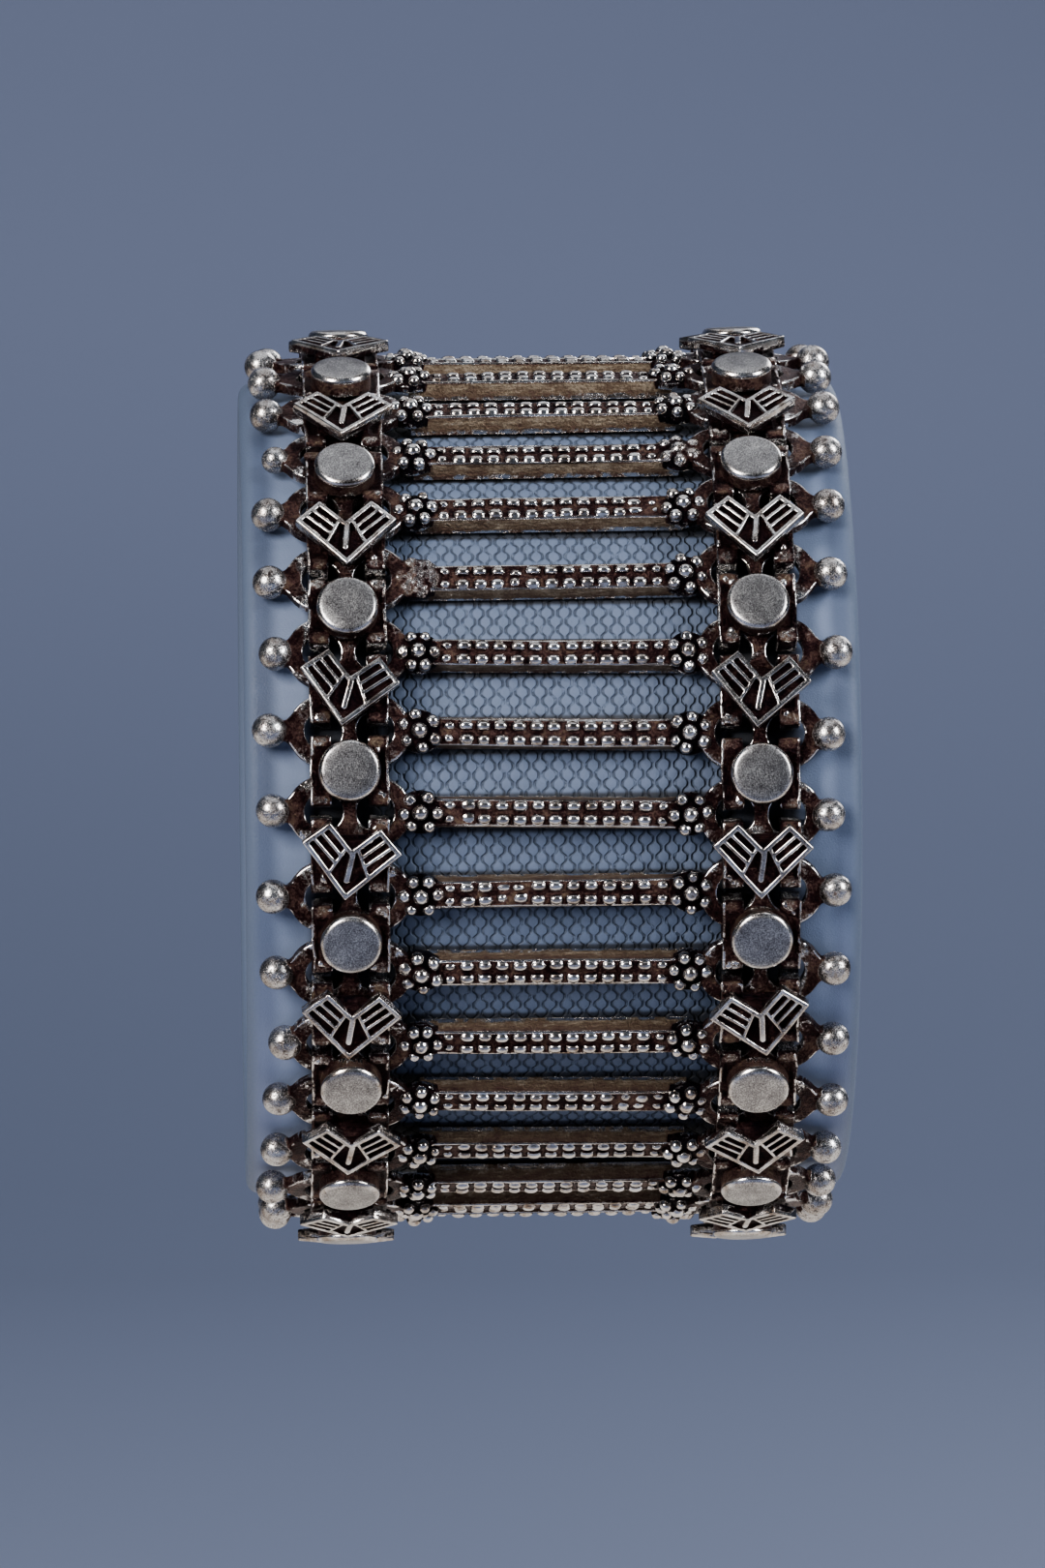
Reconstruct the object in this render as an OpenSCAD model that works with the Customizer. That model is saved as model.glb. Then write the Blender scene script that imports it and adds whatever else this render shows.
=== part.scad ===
// Hinged silver bracelet: crossbars joined by two chains of links, held round by a padded display roll.
// The bracelet's axis lies along X, the loop's middle is the origin and the front of the loop faces -Y.
// A piece is drawn with Z pointing away from the axis and Y up the front, then turned to its place.

/* [Loop] */
// Number of crossbars round the loop, even so that discs and hearts take turns
bar_count = 34; // [32:2:36]
// Radius of the circle through the balls at the crossbars' ends
loop_r = 31; // [30.9:0.05:31.3]
// Distance from the middle of the bracelet to the middle of each chain
chain_x = 14.4; // [14:0.05:14.6]

/* [Crossbar ends] */
// Distance from a chain's middle to the ball outside it
ball_reach = 5.2; // [5.1:0.05:5.4]
// Radius of a ball
ball_r = 1.2; // [1.0:0.05:1.25]
// Thickness of the plate that holds the two eyes
plate_t = 0.8; // [0.7:0.05:0.85]
// Radius of the plate round each eye
plate_r = 2.5; // [2.4:0.05:2.6]
// Radius of an eye
eye_r = 1.34; // [1.32:0.01:1.36]
// Distance from a chain's middle to the middle of each eye
eye_x = 1.82; // [1.8:0.01:1.84]
// Distance from a chain's middle to the flower inside it
flower_reach = 4.93; // [4.8:0.05:5.0]
// Radius of a flower's round base
flower_r = 1.55; // [1.45:0.05:1.6]
// Radius of the ring of granules round a flower's middle
granule_ring_r = 1.14; // [1.05:0.05:1.2]
// Radius of a flower's middle granule
core_granule_r = 0.52; // [0.45:0.01:0.55]
// Radius of a granule in a flower's ring
ring_granule_r = 0.4; // [0.35:0.01:0.42]

/* [Crossbar bar] */
// Radius at which the bars' feet stand
bar_foot_r = 29.85; // [29.8:0.05:29.95]
// Height of a bar under its beads
bar_h = 1.35; // [1.2:0.05:1.4]
// Width of a bar at its foot
bar_foot_w = 2.3; // [2.1:0.05:2.4]
// Width of a bar under its beads
bar_top_w = 1.84; // [1.8:0.02:2.0]
// Beads in each of a bar's two rows
bead_count = 13; // [9:2:13]
// Distance from bead to bead
bead_pitch = 1.245; // [1.2:0.005:1.25]
// Distance from a bar's middle line to each row of beads
bead_row = 0.48; // [0.42:0.02:0.5]
// Length of a bead
bead_l = 0.9; // [0.8:0.02:0.96]
// Width of a bead
bead_w = 0.62; // [0.5:0.02:0.66]

/* [Link] */
// Width of each of a link's two strips
strip_w = 1.46; // [1.3:0.02:1.48]
// Distance from a chain's middle to a strip's middle
strip_x = 2.01; // [2:0.01:2.03]
// Thickness of a strip where it passes down through an eye
strip_end_t = 0.38; // [0.3:0.02:0.4]
// Thickness of a strip over and under the plates
strip_t = 0.4; // [0.3:0.02:0.4]
// Gap between the ends of two links in one eye
end_gap = 0.67; // [0.6:0.01:0.7]
// Room between a strip and a plate
plate_gap = 0.22; // [0.2:0.01:0.24]
// Radius of a round disc
disc_r = 2.2; // [2.0:0.05:2.25]
// Radius of the loop over the discs' tops
disc_top_r = 33.4; // [33.2:0.05:33.6]
// Width of a disc's rounded rim
disc_rim = 0.4; // [0.2:0.05:0.5]

/* [Heart] */
// Radius of the loop over the hearts' tops
heart_top_r = 33.25; // [33.1:0.05:33.4]
// Half of a heart's width, at its side tips
heart_half_w = 3.54; // [3.3:0.02:3.6]
// How far a heart's two shoulders stand out from its middle
shoulder_x = 1.81; // [1.7:0.01:1.9]
// How far the shoulders rise over the side tips
shoulder_rise = 1.61; // [1.4:0.01:1.7]
// How far the notch lies under the side tips
notch_drop = 0.13; // [0.05:0.01:0.2]
// How far the lower tip hangs under the side tips
tip_drop = 3.72; // [3.4:0.02:3.8]
// How far the side tips lie above the link's middle
heart_shift = 0.75; // [0.6:0.05:0.8]
// Thickness of a heart
heart_t = 0.85; // [0.7:0.05:0.9]
// Depth of the sunk field
field_d = 0.3; // [0.2:0.05:0.4]
// Width of the raised border
border_w = 0.36; // [0.25:0.01:0.4]
// Width of the thin ridges in the field
ridge_w = 0.24; // [0.12:0.01:0.26]
// Width of the ridge under the notch
stem_w = 0.44; // [0.3:0.02:0.5]

/* [Clasp] */
// Width of the plain bar that joins the two pairs of hooks
clasp_bar_w = 1.9; // [1.4:0.1:2.0]
// Thickness of that bar
clasp_bar_t = 0.7; // [0.5:0.1:0.8]
// Gap in each hook's underside, for the plate to slip in
hook_gap = 1.4; // [1.3:0.1:1.5]

/* [Display roll] */
// Outer radius of the roll
roll_r = 29.6; // [29.3:0.05:29.65]
// Thickness of the roll's wall with its padded cover
roll_wall = 3; // [2:0.5:4]
// Length of the roll, which stands out a little past the balls
roll_l = 43.4; // [40:0.2:44]

/* [Hidden] */
$fn = 28;
overlap = 0.2;
step = 360 / bar_count;
pitch = 2 * loop_r * sin(step / 2);

// How far the ends of the crossbars in view sit above even spacing, as the worn loop hangs
// crossbar counted up from the front, left end, right end
END_SHIFT = [
    [7, -0.15, 0.10],
    [6, -0.35, 0.00],
    [5, -0.30, 0.00],
    [4, -0.05, 0.25],
    [3, -0.10, 0.10],
    [2, 0.05, -0.15],
    [1, 0.20, -0.25],
    [0, 0.30, -0.20],
    [-1, 0.05, 0.10],
    [-2, 0.05, -0.05],
    [-3, 0.05, -0.10],
    [-4, 0.30, -0.20],
    [-5, 0.10, -0.30],
    [-6, -0.15, -0.05],
    [-7, -0.10, 0.15]
];

// How far the balls in view stand out past their even place
// crossbar counted up from the front, left end, right end
BALL_OUT = [
    [8, 0.45, 0.50],
    [7, 0.25, 0.25],
    [6, 0.20, 0.50],
    [5, -0.30, 0.30],
    [4, 0.25, 0.20],
    [3, 0.20, 0.10],
    [2, -0.10, 0.25],
    [1, 0.40, -0.40],
    [0, 0.15, -0.45],
    [-1, 0.25, 0.00],
    [-3, -0.55, 0.05],
    [-4, -0.15, 0.20],
    [-6, 0.30, -0.10]
];

// How far the hearts in view are turned on their links, in degrees with the right tip down
// link counted up from the front, left chain, right chain
HEART_TURN = [
    [7, 3, -2],
    [5, 2, 0],
    [3, 0, 0.5],
    [1, 10, 6],
    [-1, 8, 1.5],
    [-3, 4, -9],
    [-5, 4, -6],
    [-7, 0, -1]
];

// Where the two thin ridges of a heart's side field start on the shoulder edge and end on the cross ridge
RIDGE_STARTS = [0.38, 0.64];
RIDGE_ENDS = [0.3, 0.6];
CROSS_RIDGE_TOP = [0.45, -0.05];
CROSS_RIDGE_FOOT = [1.38, -1.9];
STEM_TOP = [0.1, -0.35];
STEM_FOOT = [-0.08, -2.45];

// The link whose place the clasp takes, at the back of the loop
clasp_link = bar_count / 2;

// Levels in a piece's own frame
plate_z = loop_r - plate_t / 2;
bar_top_z = bar_foot_r + bar_h;
link_z = loop_r * cos(step / 2);
rim_lift = (pitch / 2 - eye_r) * sin(step / 2);
strip_in_top = link_z + rim_lift + plate_t / 2 + plate_gap;
strip_in_foot = link_z + rim_lift / 2 - plate_t / 2 - plate_gap;
link_top = strip_in_top + strip_t;
link_foot = strip_in_foot - strip_t;

function above_front(i) = i > bar_count / 2 ? i - bar_count : i;
function looked_up(rows, i, side) =
    let (found = [for (row = rows) if (row[0] == above_front(i)) row])
    len(found) == 0 ? 0 : found[0][side < 0 ? 1 : 2];
function end_angle(i, side) =
    i * step + looked_up(END_SHIFT, i % bar_count, side) * 180 / (PI * loop_r);
function bar_angle(i) = (end_angle(i, -1) + end_angle(i, 1)) / 2;
function bar_turn(i) = (end_angle(i, 1) - end_angle(i, -1)) * PI / 180 * loop_r / 2 / chain_x * 180 / PI;
function link_angle(j, side) = (end_angle(j, side) + end_angle(j + 1, side)) / 2;

// Half of a link's length: each is as long as its two crossbars stand apart, less the gap in an eye
function link_half(j, side) =
    loop_r * sin((end_angle(j + 1, side) - end_angle(j, side)) / 2) - end_gap / 2;
function is_disc(j) = j % 2 == 0;
function bar_name(i) = str("crossbar_", i < 9 ? "0" : "", i + 1);

// Turns a piece from its own frame to an angle above the front of the loop
module at_angle(a) {
    rotate([90 - a, 0, 0]) children();
}

// A flat shape drawn in Y and Z, drawn out along X about the middle
module along_x(length) {
    rotate([90, 0, 90]) linear_extrude(height = length, center = true) children();
}

// A short barrel with domed ends, lying along the bar
module bead() {
    rotate([0, 90, 0]) rotate_extrude() intersection() {
        circle(r = bead_l / 2);
        translate([0, -bead_l]) square([bead_w / 2, 2 * bead_l]);
    }
}

module bead_rows() {
    middle = (bead_count - 1) / 2;
    for (side = [-1, 1], k = [0:bead_count - 1]) {
        end_bead = k == 0 || k == bead_count - 1;
        translate([(k - middle) * bead_pitch, side * bead_row, bar_top_z])
            scale(end_bead ? 0.75 : 1) bead();
    }
}

module bar() {
    along_x(2 * (chain_x - flower_reach)) polygon([
        [-bar_foot_w / 2, bar_foot_r],
        [bar_foot_w / 2, bar_foot_r],
        [bar_top_w / 2, bar_top_z],
        [-bar_top_w / 2, bar_top_z]
    ]);
}

// A low round boss with one granule in the middle and six round it
module flower() {
    dome_r = 3;
    dome_top = bar_top_z + 0.35;
    ring_z = dome_top - dome_r + sqrt(dome_r * dome_r - granule_ring_r * granule_ring_r);
    intersection() {
        translate([0, 0, plate_z]) cylinder(r = flower_r, h = bar_h);
        translate([0, 0, dome_top - dome_r]) sphere(r = dome_r);
    }
    translate([0, 0, dome_top + core_granule_r / 8]) sphere(r = core_granule_r);
    for (k = [0:5])
        rotate([0, 0, 60 * k + 15])
            translate([granule_ring_r, 0, ring_z + ring_granule_r / 8]) sphere(r = ring_granule_r);
}

// The plate with two eyes that the links hook into, drawn about the chain's middle, with its neck to the ball
module eye_plate(ball_x) {
    middle_h = 0.96 * plate_r;
    neck = [[3.5, 1.75], [3.95, 1.3], [ball_x - 0.7, 0.92]];
    translate([0, 0, plate_z]) linear_extrude(height = plate_t) difference() {
        union() {
            for (s = [-1, 1]) translate([s * eye_x, 0]) circle(r = plate_r);
            square([2 * eye_x, 2 * middle_h], center = true);
            polygon(concat(neck, [for (k = [2:-1:0]) [neck[k][0], -neck[k][1]]]));
        }
        for (s = [-1, 1]) translate([s * eye_x, 0]) circle(r = eye_r);
    }
}

// Plate, ball and flower at one end, drawn for the end on the right
module bar_end(ball_x) {
    translate([chain_x, 0, 0]) {
        eye_plate(ball_x);
        translate([ball_x, 0, loop_r]) sphere(r = ball_r);
        translate([-flower_reach, 0, 0]) flower();
    }
}

// One crossbar, cast in one piece
module crossbar(i) {
    color("dimgray") at_angle(bar_angle(i)) rotate([0, 0, bar_turn(i)]) {
        bar();
        bead_rows();
        bar_end(ball_reach + looked_up(BALL_OUT, i, 1));
        mirror([1, 0, 0]) bar_end(ball_reach + looked_up(BALL_OUT, i, -1));
    }
}

// The outline of a strip's loop, with its corners cut
module loop_outline(half_l, foot, top, corner) {
    polygon([
        [half_l - corner, foot], [half_l, foot + corner],
        [half_l, top - corner], [half_l - corner, top],
        [corner - half_l, top], [-half_l, top - corner],
        [-half_l, foot + corner], [corner - half_l, foot]
    ]);
}

// A strip bent into a loop, with a gap in its underside where it is a hook
module strip_loop(half_l, gap) {
    difference() {
        along_x(strip_w) difference() {
            loop_outline(half_l, link_foot, link_top, 0.4);
            loop_outline(half_l - strip_end_t, strip_in_foot, strip_in_top, 0.15);
        }
        if (gap > 0)
            translate([0, -half_l / 4, (link_foot + strip_in_foot) / 2])
                cube([2 * strip_w, gap, 4 * strip_t], center = true);
    }
}

// The two loops of a link with the flat base that joins them on top
module link_frame(half_l) {
    base_l = 3;
    for (s = [-1, 1]) translate([s * strip_x, 0, 0]) strip_loop(half_l, 0);
    translate([0, 0, strip_in_top + strip_t / 2])
        cube([2 * strip_x, base_l, strip_t], center = true);
}

module disc() {
    foot = link_top - overlap;
    bevel = 0.3 * disc_rim;
    rotate_extrude() polygon([
        [0, foot], [disc_r, foot], [disc_r, disc_top_r - disc_rim],
        [disc_r - bevel, disc_top_r - bevel], [disc_r - disc_rim, disc_top_r], [0, disc_top_r]
    ]);
}

// A point at a fraction of the way from one point to another
function between(a, b, f) = a + f * (b - a);

// A closed outline moved inwards by a distance, for points that run anticlockwise
function inset(points, d) = [
    for (i = [0:len(points) - 1])
        let (
            before = points[(i + len(points) - 1) % len(points)],
            here = points[i],
            after = points[(i + 1) % len(points)],
            e0 = (here - before) / norm(here - before),
            e1 = (after - here) / norm(after - here),
            n0 = [-e0[1], e0[0]],
            n1 = [-e1[1], e1[0]]
        )
        here + d * (n0 + n1) / (1 + n0 * n1)
];

side_tip = [heart_half_w, 0];
shoulder = [shoulder_x, shoulder_rise];
notch = [0, -notch_drop];
lower_tip = [0, -tip_drop];
HEART = [
    lower_tip, side_tip, shoulder, notch, [-shoulder[0], shoulder[1]], [-side_tip[0], 0]
];

// A straight ridge from point to point, from inside the plate to just under the border's top
module ridge(a, b, width) {
    run = b - a;
    translate([a[0], a[1], heart_top_r - field_d - overlap])
        rotate([0, 0, atan2(run[1], run[0])])
        translate([0, -width / 2, 0]) cube([norm(run), width, field_d + overlap - 0.04]);
}

// The ridges of the side field on the right
module leaf_ridges() {
    mid_border = -border_w / 2 * (shoulder - notch) / norm(shoulder - notch);
    ridge(CROSS_RIDGE_TOP, CROSS_RIDGE_FOOT, ridge_w);
    for (k = [0:1])
        ridge(
            between(shoulder, side_tip, RIDGE_STARTS[k]) + mid_border,
            between(CROSS_RIDGE_TOP, CROSS_RIDGE_FOOT, RIDGE_ENDS[k]),
            ridge_w
        );
}

// The double leaf or heart plaque on its short neck
module heart(turn) {
    neck = [3.6, 2.4];
    translate([0, 0, link_top - overlap])
        linear_extrude(height = heart_top_r - heart_t - link_top + 2 * overlap) square(neck, center = true);
    rotate([0, 0, -turn]) translate([0, heart_shift, 0]) {
        difference() {
            translate([0, 0, heart_top_r - heart_t]) linear_extrude(height = heart_t) polygon(HEART);
            translate([0, 0, heart_top_r - field_d])
                linear_extrude(height = 1) polygon(inset(HEART, border_w));
        }
        leaf_ridges();
        mirror([1, 0, 0]) leaf_ridges();
        ridge(STEM_TOP, STEM_FOOT, stem_w);
    }
}

module link(j, side) {
    link_frame(link_half(j, side));
    if (is_disc(j)) disc();
    else heart(looked_up(HEART_TURN, j, side));
}

// All the links of one chain but the one whose place the clasp takes
module chain(side) {
    color("silver")
        for (j = [0:bar_count - 1])
            if (j != clasp_link)
                at_angle(link_angle(j, side)) translate([side * chain_x, 0, 0]) link(j, side);
}

// Two pairs of plain hooks on one plain bar
module clasp() {
    color("silver") at_angle(link_angle(clasp_link, 1)) {
        for (side = [-1, 1], s = [-1, 1])
            translate([side * chain_x + s * strip_x, 0, 0]) strip_loop(link_half(clasp_link, side), hook_gap);
        translate([0, 0, strip_in_top + clasp_bar_t / 2])
            cube([2 * (chain_x + strip_x) + strip_w, clasp_bar_w, clasp_bar_t], center = true);
    }
}

// The padded roll inside the loop, open from end to end
module display_roll() {
    color("slategray") rotate([0, 90, 0]) difference() {
        cylinder(r = roll_r, h = roll_l, center = true, $fn = 120);
        cylinder(r = roll_r - roll_wall, h = 2 * roll_l, center = true, $fn = 120);
    }
}

for (i = [0:bar_count - 1])
    crossbar(i);
chain(-1);  // left_chain
chain(1);  // right_chain
clasp();
display_roll();
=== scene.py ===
"""Looks of a hinged silver bracelet on a padded display roll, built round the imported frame.

Forms are worked out in millimetres in a piece's own frame, with X along the bracelet's axis,
Y up the front and Z away from the axis, and then turned to the place that the frame gives them.
"""
import math

import bpy
import numpy as np
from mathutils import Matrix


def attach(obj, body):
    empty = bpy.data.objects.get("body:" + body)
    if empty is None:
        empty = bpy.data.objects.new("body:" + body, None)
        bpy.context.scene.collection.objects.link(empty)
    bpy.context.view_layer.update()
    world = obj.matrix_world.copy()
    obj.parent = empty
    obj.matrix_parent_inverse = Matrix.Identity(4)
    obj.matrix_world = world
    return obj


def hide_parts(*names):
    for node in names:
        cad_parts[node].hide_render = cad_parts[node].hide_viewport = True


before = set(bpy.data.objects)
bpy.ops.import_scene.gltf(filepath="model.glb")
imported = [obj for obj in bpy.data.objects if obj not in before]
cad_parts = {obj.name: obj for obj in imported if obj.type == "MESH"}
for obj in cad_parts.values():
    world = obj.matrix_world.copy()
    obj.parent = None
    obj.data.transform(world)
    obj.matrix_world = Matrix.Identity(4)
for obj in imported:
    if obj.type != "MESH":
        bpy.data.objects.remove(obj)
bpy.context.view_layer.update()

import openvdb
from mathutils import Quaternion, Vector

MM = 0.001

# Photograph: the loop's middle in its pixels, its scale at the loop's axis, and the way that it looks
PHOTO_W, PHOTO_H = 1080, 1620
MIDDLE_PX = (556.4, 811.4)
PX_PER_MM = 14.113
CAMERA_MM = 700
CAMERA_UP_DEG = 3.67
CAMERA_LEFT_DEG = 2.1
CAMERA_LEAN_DEG = 0.45

# Loop
LOOP_R = 31
CHAIN_X = 14.4
BAR_COUNT = sum(name.startswith("crossbar_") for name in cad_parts)
STEP = 2 * math.pi / BAR_COUNT
CLASP_LINK = BAR_COUNT // 2

# Crossbar ends
BALL_R = 1.2
PLATE_T = 0.8
PLATE_R = 2.5
PLATE_LEAN = 0.02
NECK_HALF = (0.7, 0.62)
NECK_IN = 0.9
EYE_R = 1.34
EYE_X = 1.82
FLOWER_REACH = 4.93
FLOWER_R = 1.55
RING_R = 1.14
CORE_R = 0.56
GRANULE_R = 0.43
GRANULES = 6
CORE_LIFT = 0.07
GRANULE_LIFT = 0.08
PIT_R = 0.2
PITTED_SHARE = 0.45
SINK = 0.25

# Bar
FOOT_Z = 29.85
TOP_Z = 31.2
FOOT_W = 2.3
TOP_W = 1.84
BEADS = 13
BEAD_PITCH = 1.245
BEAD_ROW = 0.48
BEAD = (0.5, 0.33, 0.31)
END_BEAD = 0.72
BEAD_POWER = 2.2
RIM_R = 0.09
DOME_TOP = TOP_Z + 0.35
DOME_R = 3

# Links
STRIP_W = 1.46
STRIP_X = 2.01
STRIP_T = 0.4
RIM_IN = 0.1
RIM_HALF_W = 0.08
BASE_HALF = 1.5
END_T = 0.38
END_GAP = 0.67
PLATE_GAP = 0.22
DISC_R = 2.2
DISC_TOP = 33.4
DISC_RIM = 0.38
DISC_FALL = 0.14
HEART_TOP = 33.25
LINK_Z = LOOP_R * math.cos(STEP / 2)
RIM_LIFT = (LOOP_R * math.sin(STEP / 2) - EYE_R) * math.sin(STEP / 2)
LOOP_IN_TOP = LINK_Z + RIM_LIFT + PLATE_T / 2 + PLATE_GAP
LOOP_IN_FOOT = LINK_Z + RIM_LIFT / 2 - PLATE_T / 2 - PLATE_GAP
LINK_TOP = LOOP_IN_TOP + STRIP_T
LINK_FOOT = LOOP_IN_FOOT - STRIP_T

# Heart plaque, about the middle of the line between its side tips
SIDE_TIP = (3.54, 0.0)
SHOULDER = (1.81, 1.61)
NOTCH = (0.0, -0.13)
LOWER_TIP = (0.0, -3.72)
HEART_SHIFT = 0.75
HEART_T = 0.85
HEART_REACH = 4
FLAT_WITHIN = 0.02
FIELD_D = 0.3
BORDER_W = 0.36
RIDGE_W = 0.26
STEM_W = 0.44
RIDGE_TOP = (0.45, -0.05)
RIDGE_FOOT = (1.38, -1.9)
RIDGE_ENDS = ((0.38, 0.3), (0.66, 0.62))
STEM = ((0.1, -0.45), (-0.08, -2.3))

# Display roll
ROLL_R = 29.6
ROLL_WALL = 3.0
ROLL_L = 43.4
ROLL_LIP = 1.0
PEBBLES = 142
PEBBLE_R = 0.5
PEBBLE_H = 0.07
COLUMN_STEP = 0.615
GROOVE_SWING = 0.16
PEBBLED_X = 12.8
PEBBLED_ROWS = 115
STEPS_PER_PEBBLE = 5

# Cell and triangles of a form in the photograph's view, up to IN_VIEW bars from the front, and out of it
IN_VIEW = 8
BAR_CELL = (0.07, 0.1)
LINK_CELL = (0.065, 0.09)
BAR_TRIANGLES = (15000, 8600)
LINK_TRIANGLES = (6400, 4000)
CLASP_TRIANGLES = 6000

# Room round a form, how far past its box it is worked out, and how far off hollows and edges are felt
ROOM = 0.3
REACH = 0.3
FAR = 9.0
HOLLOW_REACH = 0.4
EDGE_REACH = 0.14
EDGE_GAIN = 5

# Unevenness of hand work, and the first seed of each kind of piece
BAR_UNEVEN = 0.03
LINK_UNEVEN = 0.02
BAR_BEND = 0.07
BAR_SEED = 100
LINK_SEED = 700

# Places of the casting flaws: crossbar above the front, middle and half-width along the bar
BEAD_FLAWS = [(-1, -2.8, 1.5), (3, -3.0, 0.7), (4, 7.0, 1.5), (-4, 5.7, 0.9), (0, -6.5, 0.5)]
# Flowers that ran together in the casting: crossbar above the front, end, and how far
SMEARED_FLOWERS = [(3, -1, 1.0), (5, 1, 0.7), (-2, -1, 0.4)]
# Balls worn small: crossbar above the front and end, with the radius
WORN_BALLS = {(5, -1): 0.95}

# Stage in metres: the floor lies below the bracelet, which its mount holds up
FLOOR_Z = -0.14
STAGE_NEAR = -2.0
STAGE_DEEP = 1.4
STAGE_BEND = 0.5
STAGE_TOP = 2.5
STAGE_HALF_W = 2.5

# Colours by their place on a ramp, and of painted shadow and light
TARNISH = (
    (0.0, (0.005, 0.004, 0.007)), (0.38, (0.030, 0.014, 0.015)), (0.58, (0.092, 0.052, 0.046)),
    (0.85, (0.15, 0.110, 0.078)), (1.0, (0.27, 0.222, 0.17)),
)
BARE_SILVER = (
    (0.36, (0.18, 0.135, 0.105)), (0.46, (0.42, 0.385, 0.36)), (0.6, (0.66, 0.66, 0.67)),
)
RUBBED_SILVER = (
    (0.36, (0.08, 0.073, 0.075)), (0.5, (0.245, 0.24, 0.245)), (0.64, (0.56, 0.555, 0.54)),
)
# The cover's ramp runs from its grooves, darkened with painted shade, up to its pebbles
COVER_WITH_GROOVE_SHADE = (
    (0.0, (0.047, 0.063, 0.097)), (0.5, (0.072, 0.096, 0.144)), (1.0, (0.102, 0.132, 0.200)),
)
# Painted shadow
PAINTED_SHADOW = (0.008, 0.008, 0.010, 1)
WARM_LIGHT = (1.0, 0.96, 0.92)
COOL_LIGHT = (0.97, 0.98, 1.0)
ROOM_LIGHT = (0.50, 0.60, 0.75, 1)


# Place in the frame

def signed(i):
    """A number round the loop, counted up or down from the front."""
    return i if i <= BAR_COUNT // 2 else i - BAR_COUNT


def node_points(name):
    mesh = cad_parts[name].data
    points = np.empty(len(mesh.vertices) * 3, np.float32)
    mesh.vertices.foreach_get("co", points)
    return points.reshape(-1, 3).astype(float) / MM


def ball_centre(points, side):
    """The centre of the ball at one end of a crossbar, by the sphere through its outer cap's points."""
    out = side * points[:, 0]
    cap = points[out > out.max() - BALL_R / 2]
    ones = np.ones((len(cap), 1))
    found = np.linalg.lstsq(np.hstack([2 * cap, ones]), (cap ** 2).sum(1), rcond=None)[0]
    return found[:3]


def angle_of(point):
    """Angle above the front of the loop."""
    return math.atan2(point[2], -point[1])


def bar_place(i):
    """A crossbar's angle, its turn about its own Z, and each ball's distance from its chain's middle."""
    points = node_points("crossbar_%02d" % (i + 1))
    near = i * STEP
    left, right = [ball_centre(points, side) for side in (-1, 1)]
    rise = [near + math.remainder(angle_of(ball) - near, 2 * math.pi) for ball in (left, right)]
    turn = math.asin(LOOP_R * (rise[1] - rise[0]) / (right[0] - left[0]))
    reach = [side * ball[0] / math.cos(turn) - CHAIN_X for side, ball in ((-1, left), (1, right))]
    return rise[1] - math.atan(right[0] * math.tan(turn) / LOOP_R), turn, dict(zip((-1, 1), reach))


BAR_PLACES = [bar_place(i) for i in range(BAR_COUNT)]


def end_angle(i, side):
    """The angle of a crossbar where a chain crosses it."""
    middle, turn, _ = BAR_PLACES[i % BAR_COUNT]
    around = 2 * math.pi * (i // BAR_COUNT)
    return around + middle + math.atan(side * CHAIN_X * math.sin(turn) / LOOP_R)


def link_angle(j, side):
    return (end_angle(j, side) + end_angle(j + 1, side)) / 2


def link_half(j, side):
    return LOOP_R * math.sin((end_angle(j + 1, side) - end_angle(j, side)) / 2) - END_GAP / 2


def at_angle(points, angle, middle_x=0.0):
    """Points of a piece's own frame, turned to an angle above the front of the loop."""
    out = np.empty_like(points)
    out[:, 0] = points[:, 0] + middle_x
    out[:, 1] = points[:, 1] * math.sin(angle) - points[:, 2] * math.cos(angle)
    out[:, 2] = points[:, 1] * math.cos(angle) + points[:, 2] * math.sin(angle)
    return out


def from_angle(points, angle, middle_x=0.0):
    """The way back of at_angle."""
    out = np.empty_like(points)
    out[:, 0] = points[:, 0] - middle_x
    out[:, 1] = points[:, 1] * math.sin(angle) + points[:, 2] * math.cos(angle)
    out[:, 2] = -points[:, 1] * math.cos(angle) + points[:, 2] * math.sin(angle)
    return out


def turned(points, angle):
    """Points turned about their own Z."""
    out = points.copy()
    out[:, 0] = points[:, 0] * math.cos(angle) - points[:, 1] * math.sin(angle)
    out[:, 1] = points[:, 0] * math.sin(angle) + points[:, 1] * math.cos(angle)
    return out


CHAIN_POINTS = {side: node_points(name) for side, name in ((-1, "left_chain"), (1, "right_chain"))}


def heart_turn(j, side):
    """How far a heart is turned on its link, from the line between its side tips."""
    local = from_angle(CHAIN_POINTS[side], link_angle(j, side), side * CHAIN_X)
    off_top, from_middle = abs(local[:, 2] - HEART_TOP), np.hypot(local[:, 0], local[:, 1])
    top = local[(off_top < FLAT_WITHIN) & (from_middle < HEART_REACH)]
    left, right = top[top[:, 0].argmin()], top[top[:, 0].argmax()]
    return math.atan2(right[1] - left[1], right[0] - left[0])


# Noise

def waves(points, scale, seed, count=7):
    """Smooth noise from about -1 to 1 at each point, from a few sine waves of random direction."""
    rng = np.random.default_rng(seed)
    total = np.zeros(len(points))
    for _ in range(count):
        way = rng.normal(size=3)
        way *= rng.uniform(0.6, 1.4) * scale / np.linalg.norm(way)
        total += np.sin(points @ way + rng.uniform(0, 2 * math.pi))
    return total / math.sqrt(count)


def hand_made(points, seed, size):
    """Points moved a little, as a hand-made casting departs from its drawing."""
    shift = [waves(points, 1.1, seed * 3 + k) for k in range(3)]
    return points + size * np.stack(shift, 1)


# Distances

def smooth_min(a, b, soft):
    h = np.clip(0.5 + 0.5 * (b - a) / soft, 0, 1)
    return b + (a - b) * h - soft * h * (1 - h)


def pillow(x, y, z, centre, half):
    """A bead between an oval and a box."""
    p = BEAD_POWER
    q = [abs(v - c) / h for v, c, h in zip((x, y, z), centre, half)]
    return ((q[0] ** p + q[1] ** p + q[2] ** p) ** (1 / p) - 1) * min(half)


def smooth_step(low, high, v):
    t = np.clip((v - low) / (high - low), 0, 1)
    return t * t * (3 - 2 * t)


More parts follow.
